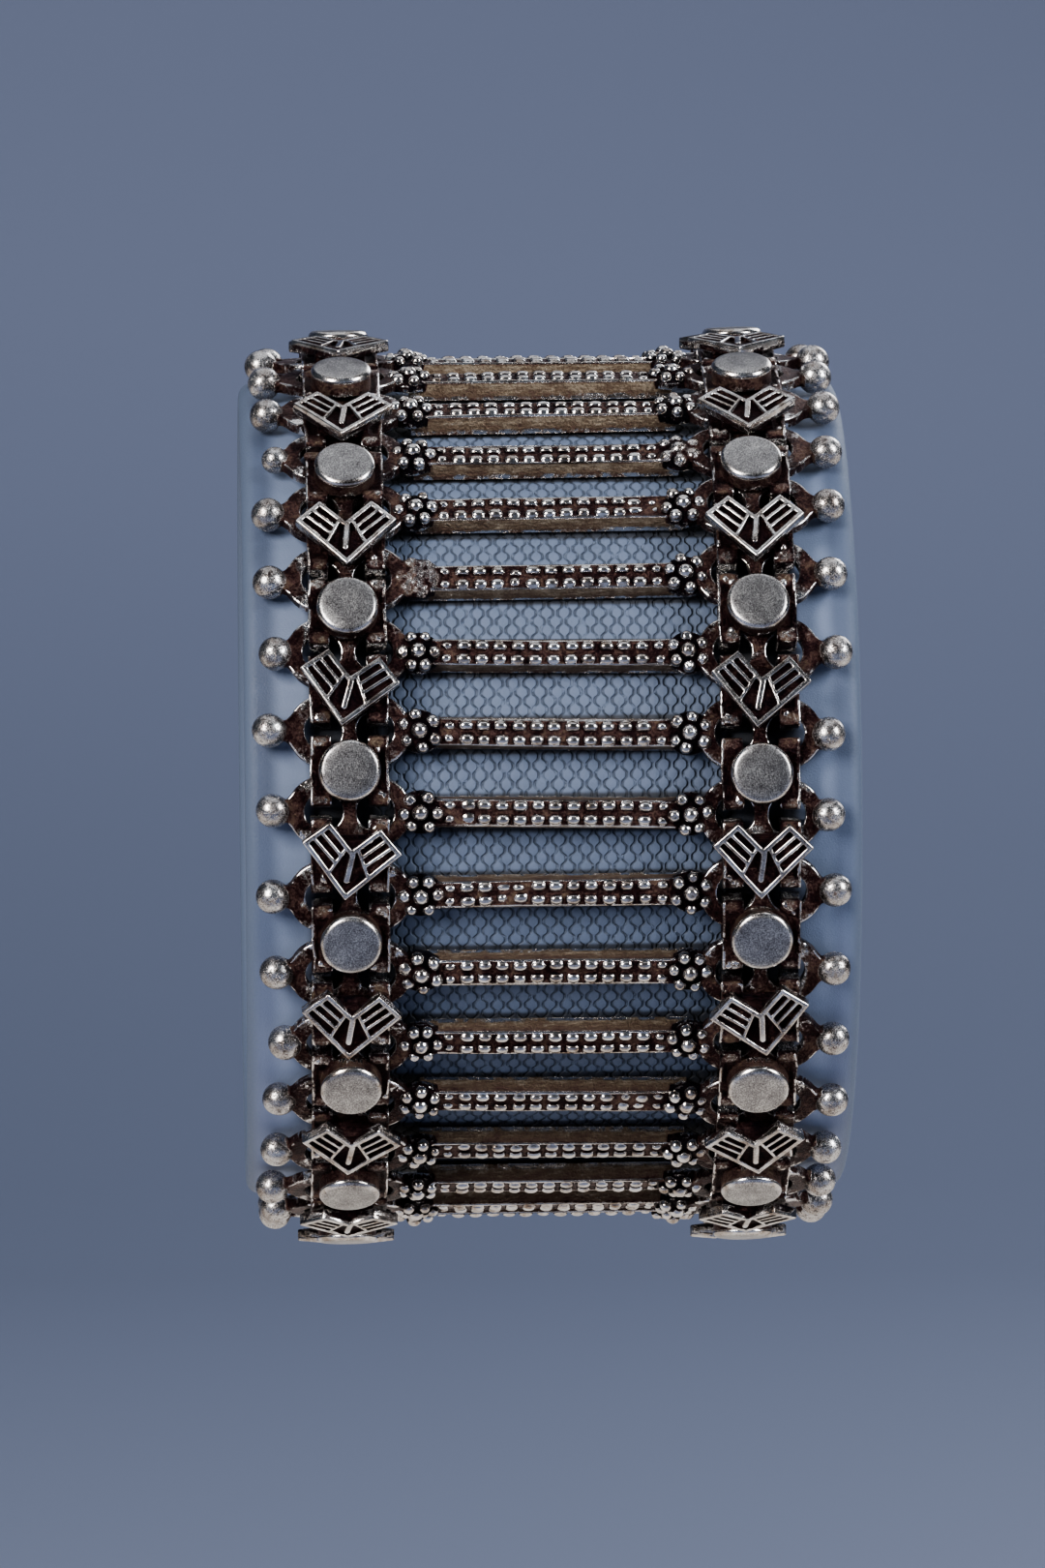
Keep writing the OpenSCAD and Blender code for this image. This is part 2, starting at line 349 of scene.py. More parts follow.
def ball(x, y, z, centre, r):
    return np.sqrt((x - centre[0]) ** 2 + (y - centre[1]) ** 2 + (z - centre[2]) ** 2) - r


def round_box(x, y, z, centre, half, r):
    q = [abs(v - c) - (h - r) for v, c, h in zip((x, y, z), centre, half)]
    outside = np.sqrt(sum(np.maximum(v, 0) ** 2 for v in q))
    return outside + np.minimum(np.maximum(np.maximum(q[0], q[1]), q[2]), 0) - r


def round_rect(u, v, half_u, half_v, r):
    p, q = abs(u) - (half_u - r), abs(v) - (half_v - r)
    return np.hypot(np.maximum(p, 0), np.maximum(q, 0)) + np.minimum(np.maximum(p, q), 0) - r


def slab(flat, z, low, high, r):
    """A flat shape's distances drawn out from one level to another, with its edges rounded."""
    p = flat + r
    q = abs(z - (low + high) / 2) - (high - low) / 2 + r
    return np.minimum(np.maximum(p, q), 0) + np.hypot(np.maximum(p, 0), np.maximum(q, 0)) - r


def polygon(x, y, points):
    """Distance to a closed outline, negative inside."""
    near = np.full(np.broadcast(x, y).shape, 1e9)
    inside = np.zeros(near.shape, bool)
    for (ax, ay), (bx, by) in zip(points, points[1:] + points[:1]):
        ex, ey = bx - ax, by - ay
        wx, wy = x - ax, y - ay
        t = np.clip((wx * ex + wy * ey) / (ex * ex + ey * ey), 0, 1)
        near = np.minimum(near, (wx - ex * t) ** 2 + (wy - ey * t) ** 2)
        crosses = (ay > y) != (by > y)
        inside ^= crosses & (wx < ex * wy / (ey if ey else 1e-9))
    return np.where(inside, -1, 1) * np.sqrt(near)


def rod(x, y, a, b, half_w):
    """Distance to a straight bar from point to point, in a plane."""
    ex, ey = b[0] - a[0], b[1] - a[1]
    t = np.clip(((x - a[0]) * ex + (y - a[1]) * ey) / (ex * ex + ey * ey), 0, 1)
    return np.hypot(x - a[0] - ex * t, y - a[1] - ey * t) - half_w


class Field:
    """A form as distances on a grid, with the tarnish's hue and the shine of what lies nearest."""

    def __init__(self, low, high, cell):
        self.low, self.cell = np.array(low, float), cell
        self.counts = np.ceil((np.array(high) - low) / cell).astype(int) + 1
        self.d = np.full(self.counts, FAR, np.float32)
        self.hue = np.zeros(self.counts, np.float32)
        self.shine = np.zeros(self.counts, np.float32)

    def window(self, low, high):
        first = np.floor((np.array(low) - REACH - self.low) / self.cell).astype(int)
        last = np.ceil((np.array(high) + REACH - self.low) / self.cell).astype(int)
        first, last = [np.clip(corner, 0, self.counts - 1) for corner in (first, last)]
        where = tuple(slice(a, b + 1) for a, b in zip(first, last))
        axes = [self.low[k] + self.cell * np.arange(first[k], last[k] + 1) for k in range(3)]
        x, y, z = (v.astype(np.float32) for v in axes)
        return where, x[:, None, None], y[None, :, None], z[None, None, :]

    def add(self, shape, low, high, soft=0.08, hue=0.0, shine=0.0):
        where, x, y, z = self.window(low, high)
        new, old = shape(x, y, z), self.d[where]
        self.hue[where] = np.where(new < old, hue, self.hue[where])
        self.shine[where] = np.where(new < old, shine, self.shine[where])
        self.d[where] = smooth_min(new, old, soft)

    def cut(self, shape, low, high, soft=0.05):
        where, x, y, z = self.window(low, high)
        self.d[where] = -smooth_min(shape(x, y, z), -self.d[where], soft)

    def sample(self, grid, points):
        q = (points - self.low) / self.cell
        i = np.clip(np.floor(q).astype(int), 0, self.counts - 2)
        f = np.clip(q - i, 0, 1)
        total = 0
        for a in (0, 1):
            for b in (0, 1):
                for c in (0, 1):
                    weight = abs(1 - a - f[:, 0]) * abs(1 - b - f[:, 1]) * abs(1 - c - f[:, 2])
                    total = total + weight * grid[i[:, 0] + a, i[:, 1] + b, i[:, 2] + c]
        return total

    def normals(self, points):
        way = np.stack([
            self.sample(self.d, points + step) - self.sample(self.d, points - step)
            for step in self.cell * np.eye(3)
        ], 1)
        return way / np.maximum(np.linalg.norm(way, axis=1, keepdims=True), 1e-9)

    def surface(self, triangles):
        """The form's surface, and at each point how hollow and sharp it is, its hue and its shine."""
        grid = openvdb.FloatGrid(FAR)
        grid.copyFromArray(self.d)
        points, _, quads = grid.convertToPolygons(isovalue=0.0, adaptivity=0.0)
        points, faces = thinned(points * self.cell + self.low, quads, triangles)
        normal = self.normals(points)
        hollow = 1 - self.sample(self.d, points + HOLLOW_REACH * normal) / HOLLOW_REACH
        ways = np.vstack([np.eye(3), -np.eye(3)])
        around = [self.sample(self.d, points + way * EDGE_REACH) for way in ways]
        edge = sum(around) / len(around) / EDGE_REACH * EDGE_GAIN
        return Surface(points, faces, {
            "hollow": np.clip(hollow, 0, 1),
            "edge": np.clip(edge, 0, 1),
            "hue": self.sample(self.hue, points),
            "shine": self.sample(self.shine, points),
        }, normal)


class Surface:
    """A mesh as arrays: points, faces, named values at each point, and normals."""

    def __init__(self, points, faces, values, normals=None):
        self.points, self.faces, self.values, self.normals = points, faces, values, normals

    def bent(self, points):
        return Surface(points, self.faces, self.values, self.normals)

    def placed(self, angle, middle_x=0.0, turn=0.0):
        """The surface turned about its own Z, and then to an angle above the front of the loop."""
        points = at_angle(turned(self.points, turn), angle, middle_x)
        return Surface(points, self.faces, self.values, at_angle(turned(self.normals, turn), angle))


def new_mesh(name, points, faces):
    mesh = bpy.data.meshes.new(name)
    sides = faces.shape[1]
    mesh.vertices.add(len(points))
    mesh.vertices.foreach_set("co", np.asarray(points, np.float32).ravel())
    mesh.loops.add(faces.size)
    mesh.loops.foreach_set("vertex_index", np.asarray(faces, np.int32).ravel())
    mesh.polygons.add(len(faces))
    mesh.polygons.foreach_set("loop_start", np.arange(len(faces), dtype=np.int32) * sides)
    mesh.update(calc_edges=True)
    return mesh


def thinned(points, quads, triangles):
    """The mesh with as many triangles as asked, kept where the form bends most."""
    piece = bpy.data.objects.new("thinned", new_mesh("thinned", points, quads))
    bpy.context.scene.collection.objects.link(piece)
    thin = piece.modifiers.new("thin", "DECIMATE")
    thin.ratio = min(1, triangles / (2 * len(quads)))
    thin.use_collapse_triangulate = True
    mesh = piece.evaluated_get(bpy.context.evaluated_depsgraph_get()).data
    kept = np.empty(len(mesh.vertices) * 3, np.float32)
    mesh.vertices.foreach_get("co", kept)
    mesh.calc_loop_triangles()
    faces = np.empty(len(mesh.loop_triangles) * 3, np.int32)
    mesh.loop_triangles.foreach_get("vertices", faces)
    source = piece.data
    bpy.data.objects.remove(piece)
    bpy.data.meshes.remove(source)
    return kept.reshape(-1, 3).astype(float), faces.reshape(-1, 3)


# Crossbars

def plate_outline(x, y, ball_x):
    """The plate with two eyes, about the chain's middle, with its neck towards the ball."""
    lobes = np.minimum(np.hypot(x - EYE_X, y), np.hypot(x + EYE_X, y)) - PLATE_R
    lobes = smooth_min(lobes, round_rect(x, y, EYE_X, 0.96 * PLATE_R, 0.3), 0.2)
    neck = round_rect(x - ball_x + NECK_IN, y, *NECK_HALF, 0.3)
    return smooth_min(lobes, neck, 0.75)


def plate(x, y, z, side, ball_x):
    """The plate at one end of a crossbar, with its eyes cut through."""
    u = side * x - CHAIN_X
    flat = plate_outline(u, y, ball_x)
    middle = LOOP_R - PLATE_LEAN * u
    thick = slab(flat, z, middle - PLATE_T / 2, middle + PLATE_T / 2, 0.1)
    eyes = np.minimum(np.hypot(u - EYE_X, y), np.hypot(u + EYE_X, y)) - EYE_R
    return -smooth_min(-thick, eyes, 0.08)


def bar(x, y, z):
    """The bar with sloping sides."""
    slope = (FOOT_W - TOP_W) / 2 / (TOP_Z - FOOT_Z)
    side = (abs(y) - FOOT_W / 2 + slope * (z - FOOT_Z)) / math.hypot(1, slope)
    ends = abs(x) - (CHAIN_X - FLOWER_REACH)
    flat = np.maximum(np.maximum(side, FOOT_Z - z), ends)
    return -smooth_min(-flat, TOP_Z - z, 0.06)


def bar_rims(x, y, z):
    """The thin rim along each side of a bar's top."""
    rim = np.hypot(abs(y) - TOP_W / 2 + 0.05, z - TOP_Z + 0.02) - RIM_R
    return np.maximum(rim, abs(x) - (CHAIN_X - FLOWER_REACH))


def in_flaw(i, x):
    return any(i == flaw[0] and abs(x - flaw[1]) < flaw[2] for flaw in BEAD_FLAWS)


def add_beads(field, i, rng):
    """The two rows of beads, each a little off its place and size, and shrunk in a flaw."""
    middle = (BEADS - 1) / 2
    for side in (-1, 1):
        for k in range(BEADS):
            x = (k - middle) * BEAD_PITCH + rng.normal(0, 0.03)
            size = (END_BEAD if k in (0, BEADS - 1) else 1) * rng.normal(1, 0.04)
            centre = np.array([x, side * BEAD_ROW + rng.normal(0, 0.015), TOP_Z + rng.normal(0, 0.015)])
            half = np.array(BEAD) * size * (1, 1 - side * 0.04, 1)
            if in_flaw(i, x):
                centre += (rng.normal(0, 0.12), -side * rng.uniform(0, 0.2), -rng.uniform(0.02, 0.14))
                half *= (rng.uniform(0.6, 1.1), rng.uniform(0.5, 1.1), 0.9)
            field.add(
                lambda x, y, z: pillow(x, y, z, centre, half), centre - half, centre + half,
                soft=0.05, hue=0.2, shine=1.0,
            )


def dome(x, y, z, middle_x):
    """A flower's low boss."""
    cap = ball(x, y, z, (middle_x, 0, DOME_TOP - DOME_R), DOME_R)
    wall = np.hypot(x - middle_x, y) - FLOWER_R
    return -smooth_min(smooth_min(-cap, -wall, 0.12), z - LOOP_R + PLATE_T / 2, 0.05)


def add_flower(field, i, side, rng):
    """A boss with one granule in the middle and a ring of others, run together where it is smeared."""
    middle_x = side * (CHAIN_X - FLOWER_REACH)
    smear = max([row[2] for row in SMEARED_FLOWERS if row[:2] == (i, side)], default=0)
    low = (middle_x - FLOWER_R, -FLOWER_R, LOOP_R - PLATE_T)
    high = (middle_x + FLOWER_R, FLOWER_R, DOME_TOP)
    field.add(lambda x, y, z: dome(x, y, z, middle_x), low, high, soft=0.12, hue=0.1)
    ring_z = DOME_TOP - DOME_R + math.sqrt(DOME_R ** 2 - RING_R ** 2)
    first = rng.uniform(0, 2 * math.pi)
    granules = [(0.0, 0.0, DOME_TOP + CORE_LIFT, CORE_R)]
    for k in range(GRANULES):
        a = first + k * 2 * math.pi / GRANULES + rng.normal(0, 0.07)
        ring = RING_R * rng.normal(1, 0.03)
        r = GRANULE_R * rng.normal(1, 0.07)
        granules.append((ring * math.cos(a), ring * math.sin(a), ring_z + GRANULE_LIFT, r))
    for dx, dy, cz, r in granules:
        centre = np.array([middle_x + dx, dy, cz - SINK * smear * rng.uniform(0.2, 1)])
        field.add(
            lambda x, y, z: ball(x, y, z, centre, r), centre - r, centre + r,
            soft=0.05 + 0.5 * smear, hue=0.1 + 0.6 * smear, shine=1 - 0.6 * smear,
        )
        if rng.uniform() < PITTED_SHARE and not smear:
            pit = centre + (rng.normal(0, 0.06), rng.normal(0, 0.06), r + 0.08)
            field.cut(lambda x, y, z: ball(x, y, z, pit, PIT_R), pit - PIT_R, pit + PIT_R, soft=0.06)


def crossbar_surface(i, balls):
    """One crossbar in its own frame."""
    rng = np.random.default_rng(BAR_SEED + i)
    far = abs(i) > IN_VIEW
    reach = CHAIN_X + max(balls.values()) + BALL_R
    half_w, high = PLATE_R + 0.33, DOME_TOP + 0.9
    field = Field((-reach - ROOM, -half_w, FOOT_Z - ROOM), (reach + ROOM, half_w, high), BAR_CELL[far])
    inner = CHAIN_X - FLOWER_REACH
    field.add(bar, (-inner, -FOOT_W / 2, FOOT_Z), (inner, FOOT_W / 2, TOP_Z), soft=0.05, hue=0.8)
    field.add(
        bar_rims, (-inner, -TOP_W / 2, TOP_Z), (inner, TOP_W / 2, TOP_Z), soft=0.06, hue=0.8, shine=0.7,
    )
    for side in (-1, 1):
        ends = sorted([side * (inner - FLOWER_R), side * reach])
        field.add(
            lambda x, y, z: plate(x, y, z, side, balls[side]),
            (ends[0], -PLATE_R, LOOP_R - PLATE_T), (ends[1], PLATE_R, LOOP_R + PLATE_T),
            soft=0.15, hue=0.45,
        )
        add_flower(field, i, side, rng)
        centre = np.array([side * (CHAIN_X + balls[side]), 0, LOOP_R])
        r = WORN_BALLS.get((i, side), BALL_R)
        field.add(
            lambda x, y, z: ball(x, y, z, centre, r), centre - r, centre + r,
            soft=0.08, hue=0.62, shine=0.62,
        )
    add_beads(field, i, rng)
    found = field.surface(BAR_TRIANGLES[far])
    x, _, z = found.points.T
    # Tarnish darker on the bar's top, and painted light on its sides: lighter towards the edge of a side
    # that lies higher in the loop
    on_top = smooth_step(TOP_Z - 0.2, TOP_Z - 0.04, z)
    rise = smooth_step(FOOT_Z + 0.1, TOP_Z - 0.3, z)
    painted_light_up = rise if i > 0 else 1 - rise
    tarnish_and_painted_light = (0.3 * painted_light_up - 0.1) * (1 - on_top) - 0.4 * on_top
    found.values["hue"] *= 1 + tarnish_and_painted_light * (abs(x) < inner)
    found.values["satin"] = 0.4 * smooth_step(CHAIN_X + 3.6, CHAIN_X + 4.4, abs(x))
    points = hand_made(found.points, 300 + i, BAR_UNEVEN)
    points[:, 1] += rng.normal(0, BAR_BEND) * np.cos(np.clip(x / inner, -1, 1) * math.pi / 2)
    return found.bent(points)


# Links

def strip_loop(x, y, z, half_l):
    """The two strips of a link, each bent into a loop."""
    middle, half_h = (LINK_TOP + LINK_FOOT) / 2, (LINK_TOP - LINK_FOOT) / 2
    inner_middle, inner_half = (LOOP_IN_TOP + LOOP_IN_FOOT) / 2, (LOOP_IN_TOP - LOOP_IN_FOOT) / 2
    outer = round_rect(y, z - middle, half_l, half_h, 0.34)
    inner = round_rect(y, z - inner_middle, half_l - END_T, inner_half, 0.15)
    ring = -smooth_min(-outer, inner, 0.06)
    side = abs(abs(x) - STRIP_X) - STRIP_W / 2
    return -smooth_min(-ring, -side, 0.08)


def add_link_frame(field, half_l, rng):
    """The strips and the base that joins them, with the marks of the casting on the strips."""
    low = (-STRIP_X - STRIP_W / 2, -half_l, LINK_FOOT)
    high = (STRIP_X + STRIP_W / 2, half_l, LINK_TOP)
    field.add(lambda x, y, z: strip_loop(x, y, z, half_l), low, high, soft=0.05, hue=0.3, shine=0.1)
    base, half = (0, 0, LOOP_IN_TOP + STRIP_T / 2), (STRIP_X, BASE_HALF, STRIP_T / 2)
    field.add(
        lambda x, y, z: round_box(x, y, z, base, half, 0.1),
        (-STRIP_X, -BASE_HALF, LOOP_IN_TOP), (STRIP_X, BASE_HALF, LINK_TOP), soft=0.12, hue=0.2,
    )
    for side in (-1, 1):
        # Hollow between the pads at a strip's ends
        dish = (side * (STRIP_X - 0.16), rng.normal(0, 0.1), LINK_TOP + 0.34)
        size = (0.62, rng.uniform(1.45, 1.75), 0.5)
        field.cut(
            lambda x, y, z: round_box(x, y, z, dish, size, 0.3),
            np.subtract(dish, size), np.add(dish, size), soft=0.08,
        )
        # Pads, and a thin uneven rim along the outer side
        for end in (-1, 1):
            pad = (side * STRIP_X + rng.normal(0, 0.1), end * (half_l - 0.44), LINK_TOP - 0.08)
            size = (rng.uniform(0.42, 0.66), rng.uniform(0.26, 0.42), rng.uniform(0.1, 0.24))
            field.add(
                lambda x, y, z: pillow(x, y, z, pad, size), np.subtract(pad, size), np.add(pad, size),
                soft=0.14, hue=0.66, shine=rng.uniform(0.1, 0.5),
            )
        edge_x = side * (STRIP_X + STRIP_W / 2 - RIM_IN)
        marks = np.linspace(0.15 - half_l, half_l - 0.15, 5)
        places = [(edge_x + rng.normal(0, 0.05), mark) for mark in marks]
        for a, b in zip(places, places[1:]):
            top = LINK_TOP + rng.normal(0.04, 0.06)
            low, high = (edge_x - 0.3, a[1] - 0.1, LINK_TOP - 0.2), (edge_x + 0.3, b[1] + 0.1, top)
            field.add(
                lambda x, y, z: slab(rod(x, y, a, b, RIM_HALF_W), z, LINK_TOP - 0.2, top, 0.06),
                low, high, soft=0.08, hue=0.6, shine=rng.uniform(0.15, 0.8),
            )


def add_nuggets(field, half_l, rng):
    """Small blobs that the casting left on the strips."""
    for _ in range(rng.integers(2, 6)):
        side, end = rng.choice((-1, 1)), rng.choice((-1, 1))
        r = rng.uniform(0.14, 0.3)
        centre = np.array([
            side * rng.uniform(STRIP_X - 0.5, STRIP_X + 0.45), end * rng.uniform(1.3, half_l - 0.25),
            LINK_TOP - 0.3 * r,
        ])
        field.add(
            lambda x, y, z: ball(x, y, z, centre, r), centre - r, centre + r,
            soft=0.12, hue=0.5, shine=0.7,
        )


def disc_drum(x, y, z):
    """The drum under a disc's cap."""
    return slab(np.hypot(x, y) - DISC_R + 0.06, z, LINK_TOP - 0.2, DISC_TOP - 0.5, 0.05)


def disc_cap(x, y, z):
    """A disc's flat top, which falls a little towards its rounded rim."""
    out = np.hypot(x, y)
    fall = DISC_FALL * np.minimum(out / DISC_R, 1) ** 5
    return slab(out - DISC_R, z + fall, DISC_TOP - 0.55, DISC_TOP, DISC_RIM)


def heart_frame(x, y, turn):
    """Coordinates in a heart's own frame."""
    c, s = math.cos(turn), math.sin(turn)
    return x * c + y * s, y * c - x * s - HEART_SHIFT


def between(a, b, f):
    return (a[0] + f * (b[0] - a[0]), a[1] + f * (b[1] - a[1]))


def raised_lines(x, y):
    """The ridges of a heart's two fields and the stem under its notch."""
    u = abs(x)
    lines = rod(u, y, RIDGE_TOP, RIDGE_FOOT, RIDGE_W / 2)
    for start, end in RIDGE_ENDS:
        a, b = between(SHOULDER, SIDE_TIP, start), between(RIDGE_TOP, RIDGE_FOOT, end)
        lines = np.minimum(lines, rod(u, y, a, b, RIDGE_W / 2))
    return np.minimum(lines, rod(x, y, *STEM, STEM_W / 2))


def heart_outline(x, y, turn):
    """Coordinates in a heart's own frame, and the distance to its outline."""
    u, v = heart_frame(x, y, turn)
    outline = [LOWER_TIP, SIDE_TIP, SHOULDER, NOTCH, (-SHOULDER[0], SHOULDER[1]), (-SIDE_TIP[0], 0)]
    return u, v, polygon(u, v, outline)


def heart_plate(x, y, z, turn):
    flat = heart_outline(x, y, turn)[2]
    return slab(flat, z, HEART_TOP - HEART_T, HEART_TOP - FIELD_D, 0.06)


def heart_relief(x, y, z, turn):
    """The border and the ridges, down into the plate."""
    u, v, flat = heart_outline(x, y, turn)
    border = np.maximum(flat, -flat - BORDER_W)
    raised = np.maximum(np.minimum(border, raised_lines(u, v)), flat)
    return slab(raised, z, HEART_TOP - HEART_T, HEART_TOP, 0.1)


def link_surface(seed, half_l, turn, far):
    """One link in its own frame, with a disc, or with a heart at a turn."""
    rng = np.random.default_rng(seed)
    field = Field((-3.9, -3.6, LINK_FOOT - ROOM), (3.9, 3.2, DISC_TOP + ROOM), LINK_CELL[far])
    add_link_frame(field, half_l, rng)
    add_nuggets(field, half_l, rng)
    if turn is None:
        low, high = (-DISC_R, -DISC_R, LINK_TOP - 0.2), (DISC_R, DISC_R, DISC_TOP)
        field.add(disc_drum, low, high, soft=0.12, hue=0.55, shine=0.1)
        field.add(disc_cap, low, high, soft=0.05, hue=0.3, shine=1.0)
    else:
        neck, half = (0, 0, (LINK_TOP + HEART_TOP - HEART_T) / 2), (1.8, 1.2, 0.5)
        field.add(
            lambda x, y, z: round_box(x, y, z, neck, half, 0.1),
            np.subtract(neck, half), np.add(neck, half), soft=0.2, hue=0.3,
        )
        low, high = (-3.7, -3.4, HEART_TOP - HEART_T), (3.7, 3.0, HEART_TOP)
        field.add(lambda x, y, z: heart_plate(x, y, z, turn), low, high, soft=0.1, hue=0.25)
        field.add(lambda x, y, z: heart_relief(x, y, z, turn), low, high, soft=0.04, hue=0.3, shine=0.9)
    found = field.surface(LINK_TRIANGLES[far])
    from_top = found.points[:, 2] - (DISC_TOP if turn is None else HEART_TOP)
    flat_top = smooth_step(-0.2, -0.06, from_top)
    found.values["satin"] = flat_top * (1 - smooth_step(0.2, 0.7, found.values["edge"]))
    return found.bent(hand_made(found.points, seed + 500, LINK_UNEVEN))


def chain_surfaces(side):
    """A chain's links, without the one in the clasp's place. Those out of view repeat others."""
    kinds = 3
    made = {}
    out = []
    for j in range(BAR_COUNT):
        if j == CLASP_LINK:
            continue
        above = signed(j)
        turn = None if j % 2 == 0 else heart_turn(j, side)
        far = not -IN_VIEW - 1 <= above <= IN_VIEW
        key = (j % 2, j // 2 % kinds) if far else j
        if key not in made:
            made[key] = link_surface(LINK_SEED + 50 * side + above, link_half(j, side), turn, far)
        out.append(made[key].placed(link_angle(j, side), side * CHAIN_X))
    return out


# Clasp

def clasp_surface():
    """Two pairs of plain hooks on one plain bar, drawn in the link's frame."""
    half_l = link_half(CLASP_LINK, 1)
    reach = CHAIN_X + STRIP_X + STRIP_W / 2
    bar_half = (reach, 0.95, 0.35)
    bar_middle = (0, 0, LOOP_IN_TOP + bar_half[2])
    field = Field(
        (-reach - ROOM, -half_l - 0.4, LINK_FOOT - 0.4), (reach + ROOM, half_l + 0.4, LINK_TOP + 0.7),
        BAR_CELL[1],
    )
    for side in (-1, 1):
        field.add(
            lambda x, y, z: strip_loop(x - side * CHAIN_X, y, z, half_l),
            (side * CHAIN_X - 3, -half_l, LINK_FOOT), (side * CHAIN_X + 3, half_l, LINK_TOP),
            soft=0.05, hue=0.3,
        )
    # The hooks' openings, then the bar
    gap = (0, -half_l / 4, (LINK_FOOT + LOOP_IN_FOOT) / 2)
    size = (reach + 1, 0.7, 0.4)
    field.cut(
        lambda x, y, z: round_box(x, y, z, gap, size, 0.1), np.subtract(gap, size), np.add(gap, size),
        soft=0.05,
    )
    field.add(
        lambda x, y, z: round_box(x, y, z, bar_middle, bar_half, 0.18),
        np.subtract(bar_middle, bar_half), np.add(bar_middle, bar_half), soft=0.12, hue=0.4, shine=0.6,
    )
    found = field.surface(CLASP_TRIANGLES)
    found.values["satin"] = np.full(len(found.points), 0.6)
    middle = (link_angle(CLASP_LINK, -1) + link_angle(CLASP_LINK, 1)) / 2
    return found.bent(hand_made(found.points, 77, LINK_UNEVEN)).placed(middle)


# Display roll

def pebble(x, around):
    """How high the cover's pebbles stand, from 0 to 1, by millimetres across and pebbles around."""
    column = np.round(x / COLUMN_STEP - 0.5)
    dx = x - (column + 0.5) * COLUMN_STEP
    turn = around + 0.5 * ((column + 1) % 2)
    dy = (turn - np.round(turn)) * 2 * math.pi * ROLL_R / PEBBLES
    return np.clip(1.6 - 1.6 * (dx ** 2 + dy ** 2) / PEBBLE_R ** 2, 0, 1)


def roll_profile():
    """The roll's section as places along its axis and radii: the outside, then each rounded corner."""
    half, inner = ROLL_L / 2 - ROLL_LIP, ROLL_R - ROLL_WALL + ROLL_LIP
    rows = [(x, ROLL_R) for x in np.linspace(-PEBBLED_X, PEBBLED_X, PEBBLED_ROWS)]
    for x, r, start in ((half, ROLL_R - ROLL_LIP, 90), (half, inner, 0), (-half, inner, -90),
                        (-half, ROLL_R - ROLL_LIP, -180)):
        for turn in range(start, start - 91, -18):
            a = math.radians(turn)
            rows.append((x + ROLL_LIP * math.cos(a), r + ROLL_LIP * math.sin(a)))
    return np.array(rows)


def roll_surface():
    """The roll's pebbled cover, folded in round its ends, with a plain inside."""
    profile = roll_profile()
    rows, count = len(profile), PEBBLES * STEPS_PER_PEBBLE
    around = np.arange(count) / count * PEBBLES
    x, turn = (v.ravel() for v in np.meshgrid(profile[:, 0], around, indexing="ij"))
    r = np.repeat(profile[:, 1], count)
    shown = (r == ROLL_R) & (abs(x) < PEBBLED_X)
    r = r - PEBBLE_H * shown * (1 - pebble(x, turn))
    angle = turn / PEBBLES * 2 * math.pi
    points = np.stack([x, -r * np.cos(angle), r * np.sin(angle)], 1)
    row, step = (v.ravel() for v in np.meshgrid(np.arange(rows), np.arange(count), indexing="ij"))
    next_row, next_step = (row + 1) % rows, (step + 1) % count
    here, there = row * count, next_row * count
    corners = [here + step, there + step, there + next_step, here + next_step]
    return Surface(points, np.stack(corners, 1), {})


# Materials

